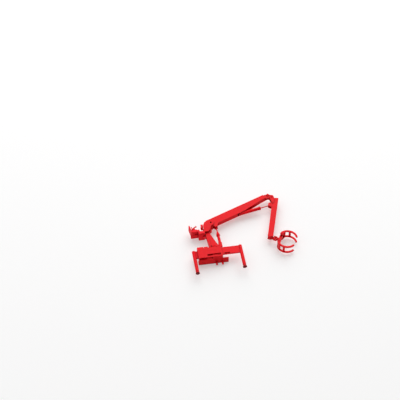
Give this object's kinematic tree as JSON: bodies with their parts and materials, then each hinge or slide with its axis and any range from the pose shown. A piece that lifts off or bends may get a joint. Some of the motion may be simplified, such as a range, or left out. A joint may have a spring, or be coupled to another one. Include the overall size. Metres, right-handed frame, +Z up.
{
  "type": "model timber loading crane",
  "caption": "Scale-model truck-mounted timber loading crane with slewing column, folding two-part boom, log grab, stabiliser legs and high seat.",
  "frame": {"origin": "in the flat mounting face under the mounting rail's level, on the slew axis", "axes": "+Z up the column, +X towards the boom along the stabiliser beam, -Y the side the pictured view looks from"},
  "size_m": [0.0658, 0.0071, 0.0572],
  "materials": {
    "frame_plastic": "semi-gloss injection moulding",
    "pin_plastic": "semi-gloss injection moulding",
    "seat_plastic": "satin injection moulding"
  },
  "bodies": {
    "base": {"mount_frame": "frame_plastic", "mount_pegs": "pin_plastic", "beam_box": "frame_plastic", "valve_block": "frame_plastic", "oil_tank": "frame_plastic", "slew_ring": "frame_plastic", "king_pin": "pin_plastic"},
    "right_stabiliser": {"right_beam": "frame_plastic", "right_leg_tube": "frame_plastic"},
    "right_jack": {"right_jack_rod": "pin_plastic", "right_foot": "frame_plastic"},
    "left_stabiliser": {"left_beam": "frame_plastic", "left_leg_tube": "frame_plastic"},
    "left_jack": {"left_jack_rod": "pin_plastic", "left_foot": "frame_plastic"},
    "column": {"column_post": "frame_plastic", "head_cheeks": "frame_plastic", "boom_pivot_pin": "pin_plastic", "lift_foot_pin": "pin_plastic", "hose_guard": "frame_plastic", "seat_bracket": "seat_plastic", "foot_plate": "seat_plastic", "seat_pan": "seat_plastic", "seat_backrest": "seat_plastic", "control_console": "seat_plastic", "control_levers": "seat_plastic"},
    "lift_cylinder": {"lift_barrel": "frame_plastic", "lift_gland": "frame_plastic"},
    "lift_piston": {"lift_rod": "pin_plastic", "lift_head_pin": "pin_plastic"},
    "boom": {"main_boom": "frame_plastic", "boom_nose": "frame_plastic", "knuckle_root_pin": "pin_plastic", "nose_bosses": "frame_plastic"},
    "knuckle_cylinder": {"knuckle_barrel": "frame_plastic"},
    "knuckle_piston": {"knuckle_rod": "pin_plastic", "knuckle_head_pin": "pin_plastic"},
    "arm": {"outer_boom": "frame_plastic", "elbow_brackets": "frame_plastic", "elbow_pin": "pin_plastic", "knuckle_lugs": "frame_plastic", "tip_fork": "frame_plastic", "tip_pin": "pin_plastic"},
    "hanger": {"hanger_link": "frame_plastic"},
    "rotator": {"rotator_body": "frame_plastic", "cross_pin": "pin_plastic"},
    "grab_frame": {"rotor_shaft": "pin_plastic", "grab_yoke": "frame_plastic", "jaw_pins": "pin_plastic"},
    "upper_jaw": {"upper_tines": "frame_plastic", "upper_crossbars": "frame_plastic"},
    "lower_jaw": {"lower_tines": "frame_plastic", "lower_crossbars": "frame_plastic"}
  },
  "joints": [
    {"name": "right_beam_slide", "type": "slide", "parent": "base", "child": "right_stabiliser", "axis": [1, 0, 0], "range_m": [-0.0095, 0.0035]},
    {"name": "right_jack_slide", "type": "slide", "parent": "right_stabiliser", "child": "right_jack", "axis": [0, 0, -1], "range_m": [0, 0.009]},
    {"name": "left_beam_slide", "type": "slide", "parent": "base", "child": "left_stabiliser", "axis": [-1, 0, 0], "range_m": [0, 0.009]},
    {"name": "left_jack_slide", "type": "slide", "parent": "left_stabiliser", "child": "left_jack", "axis": [0, 0, -1], "range_m": [0, 0.009]},
    {"name": "slew", "type": "hinge", "parent": "base", "child": "column", "pos_m": [0, 0, 0.0075], "axis": [0, 0, -1], "continuous": true},
    {"name": "boom_lift", "type": "hinge", "parent": "column", "child": "boom", "pos_m": [-0.00035, 0, 0.02785], "axis": [0, -1, 0], "range_deg": [-12, 30]},
    {"name": "lift_cylinder_swing", "type": "hinge", "parent": "column", "child": "lift_cylinder", "pos_m": [0.0029, 0, 0.0108], "axis": [0, -1, 0], "range_deg": [-8, 8]},
    {"name": "lift_cylinder_stroke", "type": "slide", "parent": "lift_cylinder", "child": "lift_piston", "axis": [-0.0171, 0, 0.9999], "range_m": [-0.0012, 0.0026]},
    {"name": "arm_fold", "type": "hinge", "parent": "boom", "child": "arm", "pos_m": [0.04142, 0, 0.04459], "axis": [0, -1, 0], "range_deg": [-20, 20]},
    {"name": "knuckle_cylinder_swing", "type": "hinge", "parent": "boom", "child": "knuckle_cylinder", "pos_m": [0.01934, 0, 0.03415], "axis": [0, -1, 0], "range_deg": [-8, 8]},
    {"name": "knuckle_cylinder_stroke", "type": "slide", "parent": "knuckle_cylinder", "child": "knuckle_piston", "axis": [0.9774, 0, 0.2114], "range_m": [-0.003, 0.003]},
    {"name": "hanger_swing", "type": "hinge", "parent": "arm", "child": "hanger", "pos_m": [0.03397, 0, 0.01238], "axis": [0, -1, 0], "range_deg": [-75, 15]},
    {"name": "hanger_side_swing", "type": "hinge", "parent": "hanger", "child": "rotator", "pos_m": [0.03671, 0, 0.01092], "axis": [0.4695, 0, 0.8829], "range_deg": [-20, 20]},
    {"name": "grab_rotation", "type": "hinge", "parent": "rotator", "child": "grab_frame", "pos_m": [0.039, 0, 0.0097], "axis": [0.8829, 0, -0.4695], "continuous": true},
    {"name": "upper_jaw_hinge", "type": "hinge", "parent": "grab_frame", "child": "upper_jaw", "pos_m": [0.04125, 0, 0.01202], "axis": [0, -1, 0], "range_deg": [-20, 28]},
    {"name": "lower_jaw_hinge", "type": "hinge", "parent": "grab_frame", "child": "lower_jaw", "pos_m": [0.03834, 0, 0.00654], "axis": [0, -1, 0], "range_deg": [-28, 20]}
  ],
  "couplings": [
    {"joint": "lift_cylinder_swing", "follows": "boom_lift", "ratio": -0.09},
    {"joint": "lift_cylinder_stroke", "follows": "boom_lift", "m_per_rad": 0.003081},
    {"joint": "knuckle_cylinder_swing", "follows": "arm_fold", "ratio": -0.1587},
    {"joint": "knuckle_cylinder_stroke", "follows": "arm_fold", "m_per_rad": 0.005203},
    {"joint": "lower_jaw_hinge", "follows": "upper_jaw_hinge", "ratio": -1}
  ]
}
